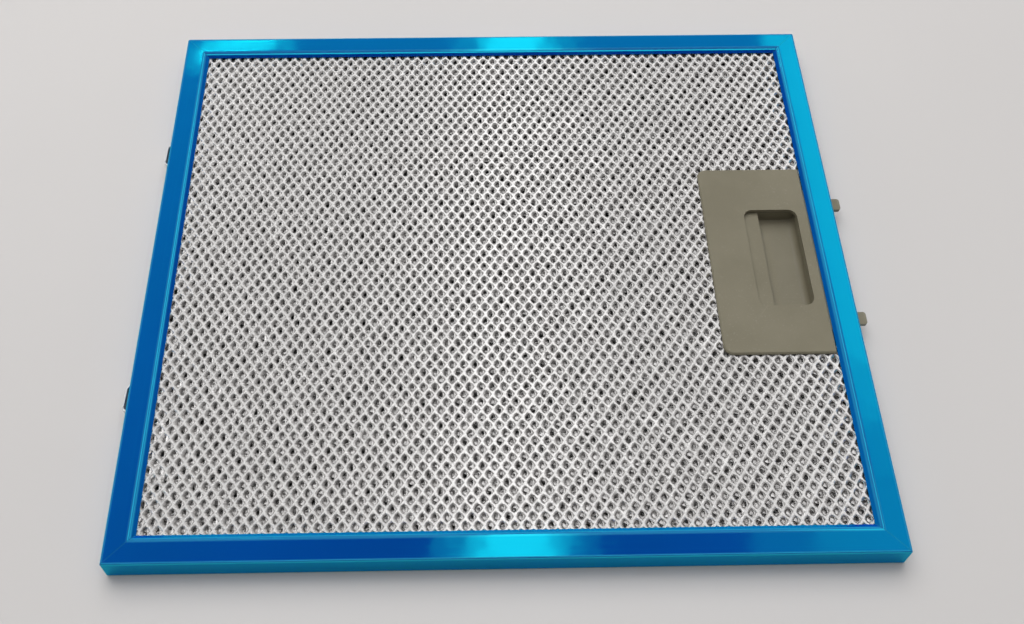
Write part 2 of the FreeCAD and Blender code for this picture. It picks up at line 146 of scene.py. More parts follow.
# Springs, in millimetres
COIL_TURNS = 9
COIL_STEPS = 20
COIL_RADIUS = 1.25
COIL_WIRE = 0.25
COIL_SIDES = 8
COIL_CLOSING = 0.028
COIL_STEP_RUN = 0.4
COIL_SIDE_RUN = 0.2
LEAF_THICKNESS = 0.7
LEAF_LEAN = 0.95
LEAF_REACH = 3.0
LEAF_TAIL = 4.0
LEAF_SAG = 0.5
LEAF_FAR_KNEE = 3.6
LEAF_NEAR_KNEE = 2.4
LEAF_STEPS = 8
LEAF_EDGE = 0.1

# Table and lamps, in metres and degrees; right panels as left, near, far and radiance, strips as width
# and radiance, and the glint as a share of the way from the window to the far side
TABLE_REACH = 9.0
TABLE_LEVEL = -0.0002
HAZE_START = 0.75
HAZE_END = 2.8
FILTER_CENTRE = (0, 0, 0)
LAMP_STEP = 0.004
RIGHT_PANEL_EDGE = 0.83
RIGHT_PANEL_HEIGHT = 1.1
RIGHT_PANELS = ((0.57, 0.50, 1.25, 0.2), (0.57, 0.40, 1.25, 0.2), (0.57, 0.30, 1.25, 0.4),
                (0.40, 0.08, 0.30, 0.18), (0.50, 0.08, 0.30, 0.17))
STRIP_X = 0.092
STRIP_Y = 0.95
STRIP_HEIGHT = 1.5
STRIP_LENGTH = 1.7
STRIP_TURN = -2.1
STRIPS = ((0.13, 0.78), (0.20, 0.68), (0.30, 0.25))
WINDOW = (-0.459, 1.225, 1.127)
GLINT_AHEAD = 0.004
FAR_SIDE_LEFT_END = (-0.127, 0.128, 0.012)

# Camera, in metres, degrees and, for the lens, millimetres
CAMERA_PLACE = (-0.0142, -0.2449, 0.3788 + DEPTH * MM)
CAMERA_AZIMUTH = 1.39
CAMERA_PITCH = 59.9
CAMERA_ROLL = -0.46
SENSOR_WIDTH = 36.0
FOCAL_LENGTH = 36.07
LENS_SHIFT = (0.0318, -0.0030)
NEAREST_SEEN = 0.01


# Shared node groups


class Nodes:
    """Adds and links nodes in one tree."""

    def __init__(self, tree):
        self.tree = tree

    def add(self, kind, values=None, **settings):
        """A new node with its settings, and with each socket linked or set."""
        node = self.tree.nodes.new(kind)
        for key, value in settings.items():
            setattr(node, key, value)
        for socket, value in (values or {}).items():
            if isinstance(value, bpy.types.NodeSocket):
                self.tree.links.new(value, node.inputs[socket])
            else:
                node.inputs[socket].default_value = value
        return node

    def math(self, operation, first, second=0.0):
        return self.add("ShaderNodeMath", {0: first, 1: second}, operation=operation).outputs[0]

    def between(self, value, low, high, to_low=0.0, to_high=1.0):
        """A value carried from one range to another, held at its ends."""
        ranged = {"Value": value, "From Min": low, "From Max": high, "To Min": to_low, "To Max": to_high}
        return self.add("ShaderNodeMapRange", ranged).outputs["Result"]

    def blend(self, share, first, second):
        """A colour between two; sockets 0, 6 and 7 are the mix node's share and colours."""
        return self.add("ShaderNodeMix", {0: share, 6: first, 7: second}, data_type="RGBA").outputs[2]

    def noise(self, place, scale, detail=2.0, roughness=0.5):
        values = {"Vector": place, "Scale": scale, "Detail": detail, "Roughness": roughness}
        return self.add("ShaderNodeTexNoise", values).outputs["Fac"]


def effect(name, inputs, outputs):
    """An empty node group with named float sockets, and the ends of its tree."""
    group = bpy.data.node_groups.new(name, "ShaderNodeTree")
    for socket, value in inputs.items():
        made = group.interface.new_socket(socket, in_out="INPUT", socket_type="NodeSocketFloat")
        made.default_value = value
    for socket in outputs:
        group.interface.new_socket(socket, in_out="OUTPUT", socket_type="NodeSocketFloat")
    nodes = Nodes(group)
    return group, nodes, nodes.add("NodeGroupInput"), nodes.add("NodeGroupOutput")


def worn_edges_group():
    """A mask that is 1 on rubbed outer edges and fades unevenly away from them."""
    group, nodes, ends_in, ends_out = effect(
        "worn_edges", {"Start": 0.53, "End": 0.62, "Break Up": 120.0}, ["Mask"])
    place = nodes.add("ShaderNodeTexCoord").outputs["Object"]
    ridge = nodes.add("ShaderNodeNewGeometry").outputs["Pointiness"]
    edge = nodes.between(ridge, ends_in.outputs["Start"], ends_in.outputs["End"])
    patches = nodes.between(nodes.noise(place, ends_in.outputs["Break Up"], 4.0), 0.35, 0.65)
    nodes.tree.links.new(nodes.math("MULTIPLY", edge, patches), ends_out.inputs["Mask"])
    return group


def grain_group():
    """Fine surface grain as a height, with a slower mottle for colour and roughness."""
    group, nodes, ends_in, ends_out = effect(
        "surface_grain", {"Grain Scale": 2500.0, "Mottle Scale": 60.0}, ["Height", "Mottle"])
    place = nodes.add("ShaderNodeTexCoord").outputs["Object"]
    height = nodes.noise(place, ends_in.outputs["Grain Scale"], 3.0, 0.6)
    mottle = nodes.between(nodes.noise(place, ends_in.outputs["Mottle Scale"], 3.0), 0.3, 0.7)
    nodes.tree.links.new(height, ends_out.inputs["Height"])
    nodes.tree.links.new(mottle, ends_out.inputs["Mottle"])
    return group


def rolled_streaks_group():
    """Lengthwise lines left by rolling and drawing, read along each strip's own run."""
    group, nodes, ends_in, ends_out = effect(
        "rolled_streaks", {"Along": 6.0, "Across": 900.0}, ["Streak"])
    run = nodes.add("ShaderNodeAttribute", attribute_name="run").outputs["Vector"]
    split = nodes.add("ShaderNodeSeparateXYZ", {0: run})
    along = nodes.math("MULTIPLY", split.outputs["X"], ends_in.outputs["Along"])
    across = nodes.math("MULTIPLY", split.outputs["Y"], ends_in.outputs["Across"])
    lines = nodes.add("ShaderNodeCombineXYZ", {"X": along, "Y": across}).outputs[0]
    nodes.tree.links.new(nodes.noise(lines, 1.0, 3.0, 0.6), ends_out.inputs["Streak"])
    return group


def dust_group():
    """Light dust that settles on faces turned upward."""
    group, nodes, ends_in, ends_out = effect(
        "settled_dust", {"Speck Scale": 700.0, "Amount": 0.2}, ["Mask"])
    place = nodes.add("ShaderNodeTexCoord").outputs["Object"]
    normal = nodes.add("ShaderNodeNewGeometry").outputs["Normal"]
    upward = nodes.between(nodes.add("ShaderNodeSeparateXYZ", {0: normal}).outputs["Z"], 0.3, 1.0)
    specks = nodes.between(nodes.noise(place, ends_in.outputs["Speck Scale"], 2.0), 0.62, 0.75)
    clouds = nodes.between(nodes.noise(place, 25.0, 3.0), 0.4, 0.7)
    lying = nodes.math("MULTIPLY", nodes.math("MULTIPLY", specks, clouds), upward)
    nodes.tree.links.new(nodes.math("MULTIPLY", lying, ends_in.outputs["Amount"]), ends_out.inputs["Mask"])
    return group


WORN_EDGES = worn_edges_group()
SURFACE_GRAIN = grain_group()
ROLLED_STREAKS = rolled_streaks_group()
SETTLED_DUST = dust_group()


# Finishes


def finish(name, constants):
    """A new material, its nodes and its shader with the values that are the same all over."""
    material = bpy.data.materials.new(name)
    material.use_nodes = True
    shader = material.node_tree.nodes["Principled BSDF"]
    for socket, value in constants.items():
        shader.inputs[socket].default_value = value
    return material, Nodes(material.node_tree), shader


def place_group(nodes, group, **values):
    """The outputs of a shared effect; an underscore in a socket's name stands for a space."""
    spaced = {key.replace("_", " "): value for key, value in values.items()}
    return nodes.add("ShaderNodeGroup", spaced, node_tree=group).outputs


def feed(nodes, shader, **sockets):
    """Link values to a shader; an underscore in a socket's name stands for a space."""
    for socket, value in sockets.items():
        nodes.tree.links.new(value, shader.inputs[socket.replace("_", " ")])


def bumped(nodes, height, strength, distance):
    values = {"Height": height, "Strength": strength, "Distance": distance}
    return nodes.add("ShaderNodeBump", values).outputs["Normal"]


def blue_film():
    """Clear blue film on bright aluminium: a deep blue body with cyan reflections, paler where it is bent,
    partly the film thinned there and partly a painted highlight along the bends.
    """
    material, nodes, shader = finish("blue_film_frame", {
        "IOR": 4.0, "Specular Tint": (0.008, 0.96, 1.0, 1.0), "Metallic": 0.0})
    place = nodes.add("ShaderNodeTexCoord").outputs["Object"]
    streak = place_group(nodes, ROLLED_STREAKS, Along=5.0, Across=700.0)["Streak"]
    grain = place_group(nodes, SURFACE_GRAIN, Grain_Scale=900.0, Mottle_Scale=14.0)
    worn = place_group(nodes, WORN_EDGES, Start=0.54, End=0.68, Break_Up=150.0)["Mask"]
    dust = place_group(nodes, SETTLED_DUST, Speck_Scale=900.0, Amount=0.25)["Mask"]
    stretched = nodes.add("ShaderNodeAttribute", attribute_name="stretch").outputs["Fac"]
    body = nodes.blend(grain["Mottle"], (0.001, 0.035, 0.40, 1), (0.001, 0.044, 0.46, 1))
    body = nodes.blend(nodes.between(streak, 0.55, 0.8, 0.0, 0.2), body, (0.002, 0.08, 0.53, 1))
    # Paler on bends and folds, partly the film thinned there and partly a painted highlight along the bends;
    # mitred ends get a thin paler line
    body = nodes.blend(nodes.math("MULTIPLY", stretched, 0.4), body, (0.06, 0.32, 0.66, 1))
    body = nodes.blend(nodes.math("MULTIPLY", worn, 0.3), body, (0.08, 0.40, 0.68, 1))
    body = nodes.blend(nodes.math("MULTIPLY", dust, 0.3), body, (0.03, 0.18, 0.50, 1))
    gloss = nodes.between(streak, 0.3, 0.7, 0.05, 0.09)
    gloss = nodes.math("ADD", gloss, nodes.math("MULTIPLY", dust, 0.3))
    ripples = nodes.noise(place, 40.0, 2.0)
    height = nodes.math("ADD", ripples, nodes.math("MULTIPLY", streak, 0.05))
    feed(nodes, shader, Base_Color=body, Roughness=gloss, Normal=bumped(nodes, height, 0.12, 0.0012))
    return material


def foil(name, bright, dull, whitened):
    """Expanded aluminium foil: whitened crests, partly where the sheet was rolled flat and partly a painted
    highlight, bare metal down its holes.
    """
    material, nodes, shader = finish(name, {})
    grain = place_group(nodes, SURFACE_GRAIN, Grain_Scale=1800.0, Mottle_Scale=420.0)
    slow = place_group(nodes, SURFACE_GRAIN, Grain_Scale=90.0, Mottle_Scale=9.0)
    dust = place_group(nodes, SETTLED_DUST, Speck_Scale=1500.0, Amount=0.3)["Mask"]
    crest = nodes.add("ShaderNodeAttribute", attribute_name="crest").outputs["Fac"]
    tint = nodes.blend(grain["Mottle"], dull, bright)
    tint = nodes.blend(nodes.math("MULTIPLY", slow["Mottle"], 0.2), tint, dull)
    # Crests whitened: partly rubbed metal, partly a painted highlight, brightest on each rim's ridge side
    tint = nodes.blend(nodes.between(crest, 0.15, 0.75), tint, whitened)
    tint = nodes.blend(dust, tint, (0.42, 0.40, 0.38, 1))
    gloss = nodes.between(grain["Mottle"], 0.0, 1.0, 0.18, 0.30)
    gloss = nodes.math("ADD", gloss, nodes.math("MULTIPLY", dust, 0.5))
    bare = nodes.between(crest, 0.1, 0.8, 0.97, 0.40)
    feed(nodes, shader, Base_Color=tint, Roughness=gloss, Metallic=bare,
         Normal=bumped(nodes, grain["Height"], 0.12, 0.00012))
    return material


def latch_plastic():
    """Warm grey moulded plastic with a fine satin texture and slightly paler rubbed edges."""
    material, nodes, shader = finish("latch_plastic", {"IOR": 1.49, "Metallic": 0.0})
    grain = place_group(nodes, SURFACE_GRAIN, Grain_Scale=2600.0, Mottle_Scale=45.0)
    worn = place_group(nodes, WORN_EDGES, Start=0.52, End=0.66, Break_Up=240.0)["Mask"]
    dust = place_group(nodes, SETTLED_DUST, Speck_Scale=1100.0, Amount=0.22)["Mask"]
    body = nodes.blend(grain["Mottle"], (0.190, 0.172, 0.118, 1), (0.222, 0.202, 0.142, 1))
    body = nodes.blend(nodes.math("MULTIPLY", worn, 0.45), body, (0.34, 0.32, 0.25, 1))
    body = nodes.blend(dust, body, (0.45, 0.44, 0.41, 1))
    gloss = nodes.between(grain["Height"], 0.3, 0.7, 0.42, 0.56)
    feed(nodes, shader, Base_Color=body, Roughness=gloss,
         Normal=bumped(nodes, grain["Height"], 0.35, 0.00008))
    return material


def spring_steel():
    """Bright spring steel with drawing lines along the strip and scuffed edges."""
    material, nodes, shader = finish("spring_steel", {"Metallic": 0.4})
    streak = place_group(nodes, ROLLED_STREAKS, Along=30.0, Across=6000.0)["Streak"]
    grain = place_group(nodes, SURFACE_GRAIN, Grain_Scale=3000.0, Mottle_Scale=150.0)
    worn = place_group(nodes, WORN_EDGES, Start=0.52, End=0.64, Break_Up=400.0)["Mask"]
    tint = nodes.blend(grain["Mottle"], (0.76, 0.76, 0.77, 1), (0.88, 0.88, 0.88, 1))
    tint = nodes.blend(worn, tint, (0.94, 0.94, 0.93, 1))
    gloss = nodes.between(streak, 0.3, 0.7, 0.25, 0.42)
    height = nodes.math("ADD", streak, nodes.math("MULTIPLY", grain["Height"], 0.3))
    feed(nodes, shader, Base_Color=tint, Roughness=gloss, Normal=bumped(nodes, height, 0.2, 0.00008))
    return material


FILM = blue_film()
FACE_FOIL = foil("mesh_aluminium", bright=(0.84, 0.82, 0.81, 1), dull=(0.60, 0.585, 0.575, 1),
                 whitened=(0.97, 0.955, 0.945, 1))
# The inner layers are the same aluminium painted darker: painted shade deep in the stack
SHADED_INNER_FOIL = foil("inner_mesh_aluminium_painted_shade", bright=(0.66, 0.645, 0.635, 1), dull=(0.42, 0.41, 0.405, 1),
                  whitened=(0.92, 0.90, 0.89, 1))
PLASTIC = latch_plastic()
STEEL = spring_steel()


# Putting a piece in the frame


def new_mesh(name, points, faces):
    """A mesh from points in millimetres."""
    mesh = bpy.data.meshes.new(name)
    mesh.from_pydata([[c * MM for c in point] for point in points], [], faces)
    return mesh


def install(name, mesh, material, node, body="filter"):
    """A new piece of one mesh and one finish, standing for one CAD node."""
    mesh.materials.clear()
    mesh.materials.append(material)
    mesh.shade_smooth()
    piece = bpy.data.objects.new(name, mesh)
    bpy.context.scene.collection.objects.link(piece)
    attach(piece, body)
    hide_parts(node)
    return piece


def face_outward(piece):
    shape = bmesh.new()
    shape.from_mesh(piece.data)
    bmesh.ops.recalc_face_normals(shape, faces=shape.faces)
    shape.to_mesh(piece.data)
    shape.free()


def keep_edges_crisp(piece, degrees):
    piece.data.set_sharp_from_angle(angle=math.radians(degrees))


def keep_faces_flat(piece):
    piece.modifiers.new("flat_faces", "WEIGHTED_NORMAL").keep_sharp = True


def soften_edges(piece, width, steps, degrees=35.0):
    """Round a piece's edges and keep its flat faces flat."""
    bevel = piece.modifiers.new("soft_edges", "BEVEL")
    bevel.width = width * MM
    bevel.segments = steps
    bevel.limit_method = "ANGLE"
    bevel.angle_limit = math.radians(degrees)
    keep_faces_flat(piece)


def write_run(piece, run):
    """Keep each point's distance along and across its strip for the drawing lines."""
    attribute = piece.data.attributes.new("run", "FLOAT_VECTOR", "POINT")
    attribute.data.foreach_set("vector", (np.array(run, np.float32) * MM).ravel())


def write_mask(piece, name, shares):
    """Keep one share from 0 to 1 at each point, for a finish to read."""
    attribute = piece.data.attributes.new(name, "FLOAT", "POINT")
    attribute.data.foreach_set("value", np.array(shares, np.float32))


def rounded_route(corners, steps):
    """Points along a line whose corners carry a bend radius as their third value."""
    points = []
    for i, corner in enumerate(corners):
        here = np.array(corner[:2], float)
        if len(corner) < 3:
            points.append(here)
            continue
        back = np.array(corners[i - 1][:2], float) - here
        ahead = np.array(corners[i + 1][:2], float) - here
        back /= np.linalg.norm(back)
        ahead /= np.linalg.norm(ahead)
        half = math.acos(np.clip(back @ ahead, -1, 1)) / 2
        setback = corner[2] / math.tan(half)
        middle = (back + ahead) / np.linalg.norm(back + ahead)
        centre = here + middle * corner[2] / math.sin(half)
        first = here + back * setback - centre
        last = here + ahead * setback - centre
        sweep = math.atan2(first[0] * last[1] - first[1] * last[0], first @ last)
        for step in range(steps + 1):
            turn = sweep * step / steps
            c, s = math.cos(turn), math.sin(turn)
            points.append(centre + np.array([c * first[0] - s * first[1], s * first[0] + c * first[1]]))
    return points


# Frame channel


class Strip:
    """A bent strip in the making: points with their run and their paler tone on bends, partly film thinning
    and partly painted highlight, and faces between them.
    """

    def __init__(self):
        self.points, self.run, self.stretch, self.faces = [], [], [], []

    def add(self, place, along, across, bent):
        self.points.append(place)
        self.run.append((along, across, 0.0))
        self.stretch.append(bent)
        return len(self.points) - 1


def channel_skins():
    """The outer and inner skin of the channel's section, point for point: inward distance and height."""
    reach = FLANGE + LIP_RUN
    lip_depth = LIP_DROP + SHEET * LIP_RUN / LIP_LENGTH
    inner_tip = reach - SHEET * LIP_DROP / LIP_LENGTH
    inner_bend = FLANGE - SHEET * (LIP_LENGTH - LIP_RUN) / LIP_DROP
    levels = sorted([*TONGUE_SLOT_Z, *LEAF_WINDOW_Z])
    inner_radius, inner_roll = BEND - SHEET, LIP_BEND - SHEET
    outer = [(reach, LIP_DROP), (FLANGE, 0, LIP_BEND), (0, 0, BEND)]
    outer += [(0, level) for level in levels]
    outer += [(0, DEPTH, BEND), (FLANGE, DEPTH, LIP_BEND), (reach, DEPTH - LIP_DROP)]
    inner = [(inner_tip, lip_depth), (inner_bend, SHEET, inner_roll), (SHEET, SHEET, inner_radius)]
    inner += [(SHEET, level) for level in levels]
    inner += [(SHEET, DEPTH - SHEET, inner_radius), (inner_bend, DEPTH - SHEET, inner_roll),
              (inner_tip, DEPTH - lip_depth)]
    return with_flat_margins(rounded_route(outer, BEND_STEPS), rounded_route(inner, BEND_STEPS))


def with_flat_margins(outer, inner):
    """Both skins with points added close to each flat's ends, so that a bend's paler tone, partly painted
    highlight, stays on the bend.
    """
    fuller_outer, fuller_inner = [outer[0]], [inner[0]]
    for k in range(1, len(outer)):
        length = float(np.linalg.norm(outer[k] - outer[k - 1]))
        shares = [FLAT_MARGIN / length, 1 - FLAT_MARGIN / length] if length > 3 * FLAT_MARGIN else []
        for skin, fuller in ((outer, fuller_outer), (inner, fuller_inner)):
            fuller += [skin[k - 1] + (skin[k] - skin[k - 1]) * share for share in shares]
            fuller.append(skin[k])
    return fuller_outer, fuller_inner


def bend_shares(path):
    """How strongly the section bends at each of its points, from 0 on flats to 1."""
    shares = [0.0]
    for before, here, after in zip(path, path[1:], path[2:]):
        a, b = here - before, after - here
        turn = abs(math.atan2(a[0] * b[1] - a[1] * b[0], a @ b))
        shares.append(min(1.0, turn / math.radians(FULL_BEND)))
    return [*shares, 0.0]


def spread_out(height):
    """How far the walls have sprung outward at a height above the rear face."""
    return WALL_LEAN * (1 - height / DEPTH)


def half_length(side):
    return HALF_HEIGHT if side in (RIGHT, LEFT) else HALF_WIDTH


def side_place(side, along, inward, height):
    """A point on one of the four sides."""
    inward -= spread_out(height)
    if side == RIGHT:
        return (HALF_WIDTH - inward, along, height)
    if side == FAR:
        return (-along, HALF_HEIGHT - inward, height)
    if side == LEFT:
        return (-HALF_WIDTH + inward, -along, height)
    return (along, -HALF_HEIGHT + inward, height)


def side_columns(side):
    """A side's columns, each at a distance from one of its mitred ends (-1 or 1) or from its middle (0)."""
    reach = half_length(side) - COLUMN_MARGIN
    stops = {round(v, 3) for v in np.linspace(-reach, reach, COLUMN_COUNT)}
    if side in WALL_CUTS:
        for edge in WALL_CUTS[side][0]:
            stops |= {edge, -edge}
    return [(-1, 0.0), (-1, MITRE_EDGE), *((0, stop) for stop in sorted(stops)), (1, MITRE_EDGE), (1, 0.0)]


def wall_openings(side, columns, skin):
    """The wall's grid spots that lie in a tongue slot or a leaf spring's window."""
    if side not in WALL_CUTS:
        return set()
    (low, high), (floor, roof) = WALL_CUTS[side]
    spots = set()
    for j in range(2, len(columns) - 3):
        along = abs(columns[j][1] + columns[j + 1][1]) / 2
        for k in range(len(skin) - 1):
            on_wall = skin[k][0] < WALL_TOLERANCE and skin[k + 1][0] < WALL_TOLERANCE
            height = (skin[k][1] + skin[k + 1][1]) / 2
            if on_wall and low < along < high and floor < height < roof:
                spots.add((j, k))
    return spots


def side_grid(strip, side, columns, skins):
    """Adds a side's points and gives their numbers by skin, column and place in the section."""
    outer = skins[0]
    steps = [float(np.linalg.norm(b - a)) for a, b in zip(outer, outer[1:])]
    travelled = np.cumsum([0.0, *steps]).tolist()
    bends = bend_shares(outer)
    grid = np.zeros((2, len(columns), len(outer)), int)
    for j, (at_end, stop) in enumerate(columns):
        for skin, path in enumerate(skins):
            for k, (inward, height) in enumerate(path):
                end = half_length(side) + spread_out(height) - max(FOLD_RADIUS, inward + MITRE_RETREAT)
                along = at_end * (end - stop) if at_end else stop
                mitred = at_end and stop == 0 and inward > BEND
                grid[skin, j, k] = strip.add(
                    side_place(side, along, inward, height), along + side * SIDE_RUN, travelled[k],
                    max(bends[k], MITRE_PALING) if mitred else bends[k])
    return grid


def side_faces(grid, openings):
    """A side's two skins, the cut edges that line its openings and the edges of its lips."""
    faces = []
    last_spot = grid.shape[2] - 1
    for j in range(grid.shape[1] - 1):
        for k in range(last_spot):
            a, b, c, d = (j, k), (j, k + 1), (j + 1, k + 1), (j + 1, k)
            if (j, k) not in openings:
                faces.append([grid[0][spot] for spot in (a, b, c, d)])
                faces.append([grid[1][spot] for spot in (d, c, b, a)])
                continue
            for beside, first, last in (((j - 1, k), a, b), ((j, k + 1), b, c),
                                        ((j + 1, k), c, d), ((j, k - 1), d, a)):
                if beside not in openings:
                    faces.append([grid[0][first], grid[0][last], grid[1][last], grid[1][first]])
        for k in (0, last_spot):
            quad = [grid[0, j, k], grid[0, j + 1, k], grid[1, j + 1, k], grid[1, j, k]]
            faces.append(quad if k == 0 else quad[::-1])
    return faces


def close_corner(strip, side, first, last, wall):
    """The cut ends of two sides at a corner; the wall runs on round a fold where the strip isn't cut."""
    folded = side != FAR
    for block, flip in ((first, False), (last, True)):
        for k in range(block.shape[1] - 1):
            if folded and k in wall and k + 1 in wall:
                continue
            quad = (block[0, k], block[0, k + 1], block[1, k + 1], block[1, k])
            strip.faces.append(quad[::-1] if flip else quad)
    if folded:
        fold_corner(strip, side, first, last, wall)


def fold_corner(strip, side, first, last, wall):
    """The wall's small rounded fold between two sides."""
    rings = []
    for skin in range(2):
        rows = []
        for k in wall:
            a = np.array(strip.points[first[skin, k]])
            b = np.array(strip.points[last[skin, k]])
            centre = corner_centre(side, a[2])
            row = [first[skin, k]]
            for step in range(1, FOLD_STEPS):
                turn = math.pi / 2 * step / FOLD_STEPS
                lift = (a - centre) * math.cos(turn) + (b - centre) * math.sin(turn)
                row.append(strip.add(tuple(centre + lift), (side + 0.5) * SIDE_RUN, a[2], 1.0))
            row.append(last[skin, k])
            rows.append(row)
        rings.append(rows)
        for row, above in zip(rows, rows[1:]):
            for c in range(FOLD_STEPS):
                strip.faces.append((row[c], row[c + 1], above[c + 1], above[c]))
    for outside, inside in ((rings[0][r], rings[1][r]) for r in (0, -1)):
        for c in range(FOLD_STEPS):
            strip.faces.append((outside[c], outside[c + 1], inside[c + 1], inside[c]))


def corner_centre(side, height):
    """The middle of the fold at a side's end, at a height above the rear face."""
    x = HALF_WIDTH + spread_out(height) - FOLD_RADIUS
    y = HALF_HEIGHT + spread_out(height) - FOLD_RADIUS
    return np.array([(x, y, height), (-x, y, height), (-x, -y, height), (x, -y, height)][side])


def frame_channel():
    """One rolled strip, mitred and folded round the corners, with its wall openings."""
    skins = channel_skins()
    outer = skins[0]
    strip = Strip()
    ends = []
    for side in (RIGHT, FAR, LEFT, NEAR):
        columns = side_columns(side)
        grid = side_grid(strip, side, columns, skins)
        strip.faces += side_faces(grid, wall_openings(side, columns, outer))
        ends.append((grid[:, 0], grid[:, -1]))
    wall = [k for k, (inward, _) in enumerate(outer) if inward < WALL_TOLERANCE]
    for side in (RIGHT, FAR, LEFT, NEAR):
        close_corner(strip, side, ends[side][1], ends[(side + 1) % 4][0], wall)
    name = "frame_channel_film"
    mesh = new_mesh(name, strip.points, strip.faces)
    piece = install(name, mesh, FILM, "frame_channel")
    write_run(piece, strip.run)
    # How pale each point is drawn: partly film thinning, partly painted highlight on the bends
    write_mask(piece, "stretch", strip.stretch)
    face_outward(piece)
    keep_edges_crisp(piece, FRAME_CRISP)
    keep_faces_flat(piece)


# Expanded mesh sheets


def sheet_wave(seed):
    """The slow drift of a sheet's rows and columns, as offsets in millimetres."""
    phase = np.random.default_rng(seed).uniform(0, 2 * math.pi, 6)

    def wave(x, y):
        dx = 0.16 * np.sin(y / 33 + phase[0]) + 0.10 * np.sin(x / 21 + phase[1])
        dy = 0.20 * np.sin(x / 41 + phase[2]) + 0.12 * np.sin(y / 27 + phase[3])
        dz = 0.03 * np.sin(x / 19 + phase[4]) * np.sin(y / 23 + phase[5])
        return dx, dy, dz

    return wave


def sheet_layout(seed, turn, shift):
    """A function from quarter cells to places on a turned and shifted sheet, with their lift."""
    wave = sheet_wave(seed)
    c, s = math.cos(math.radians(turn)), math.sin(math.radians(turn))

    def spread(u, v):
        x = u * CELL_ACROSS / 4 + shift[0]
        y = v * CELL_ALONG / 4 + shift[1]
        x, y = c * x - s * y, s * x + c * y
        dx, dy, dz = wave(x, y)
        return x + dx, y + dy, dz

    return spread


def sheet_cells(high, spread):
    """The staggered cells, in quarter cells, that fit whole in a sheet and clear the latch."""
    i, j = np.meshgrid(np.arange(-CELL_COLUMNS, CELL_COLUMNS + 1), np.arange(-CELL_ROWS, CELL_ROWS + 1))
    cells = np.stack([4 * i + 2 * (j % 2), 2 * j], -1).reshape(-1, 2)
    x, y, _ = spread(cells[:, 0], cells[:, 1])
    fits_across = np.abs(x) < high[0] - CELL_ACROSS / 2 - SHEET_MARGIN
    fits_along = np.abs(y) < high[1] - CELL_ALONG / 2 - SHEET_MARGIN
    at_latch = (x > NOTCH_LEFT - CELL_ACROSS / 2) & (np.abs(y) < NOTCH_HALF + CELL_ALONG / 2)
    return cells[fits_across & fits_along & ~at_latch]


def hole_ring(x, y, across, along, roundness, rng):
    """Eight points round each hole, a little uneven: its two sides, its two ends and the four between."""
    count = len(x)
    reach = np.where(np.arange(8) % 2 == 0, 1.0, roundness * math.sqrt(2))
    size = rng.normal(1.0, SIZE_SPREAD, (count, 1)).clip(*SIZE_LIMITS)
    ring = np.empty((count, 8, 3))
    uneven = rng.normal(0, POINT_SPREAD_ACROSS, (count, 8))
    ring[..., 0] = x[:, None] + across * size * reach * np.cos(EIGHTHS) + uneven
    uneven = rng.normal(0, POINT_SPREAD_ALONG, (count, 8))
    ring[..., 1] = y[:, None] + along * size * reach * np.sin(EIGHTHS) + uneven
    return ring


def hole_rings(rng, crest_level, x, y, lift, shouldered):
    """Each hole's rings, outermost first: a shoulder with a groove and a rim with a ridge, or a plain rim."""
    rings = []
    if shouldered:
        shoulder = hole_ring(x, y, SHOULDER_ACROSS, SHOULDER_ALONG, SHOULDER_ROUND, rng)
        shoulder[..., 2] = crest_level - SHOULDER_DROP + lift[:, None]
        shoulder[:, 0, 2] -= GROOVE_DROP
        rings.append(shoulder)
    aside = rng.normal(HOLE_ASIDE, ASIDE_SPREAD, len(x))
    rim = hole_ring(x + aside, y, HOLE_ACROSS, HOLE_ALONG, HOLE_ROUND, rng)
    tilt = HOLE_TILT * rng.normal(1.0, TILT_SPREAD, (len(x), 1))
    rim[..., 2] = crest_level - HOLE_DROP + lift[:, None] + tilt * np.cos(EIGHTHS)
    if shouldered:
        rim[:, 0] += [-RIDGE_IN, 0, RIDGE_LIFT]
        rim[:, [1, 7]] += [-RIDGE_END_IN, 0, RIDGE_END_LIFT]
    return [*rings, rim]


def sheet_faces(loops, under):
    """The slopes from each cell's border to its hole, the strands' undersides and the sheet's cut edges."""
    faces = []
    for outside, within in zip(loops, loops[1:]):
        for k in range(8):
            n = (k + 1) % 8
            faces += np.stack([outside[:, k], outside[:, n], within[:, n], within[:, k]], 1).tolist()
    border, hole = loops[0], loops[-1]
    cells_at = np.bincount(border[:, 1::2].ravel())
    for q in range(4):
        k, m, n, p = 2 * q, 2 * q + 1, (2 * q + 2) % 8, (q + 1) % 4
        faces += np.stack([hole[:, k], hole[:, m], hole[:, n], under[:, p], under[:, q]], 1).tolist()
        cut = cells_at[border[:, m]] == 1
        faces += np.stack([border[cut, n], border[cut, m], border[cut, k],
                           under[cut, q], under[cut, p]], 1).tolist()
    return faces


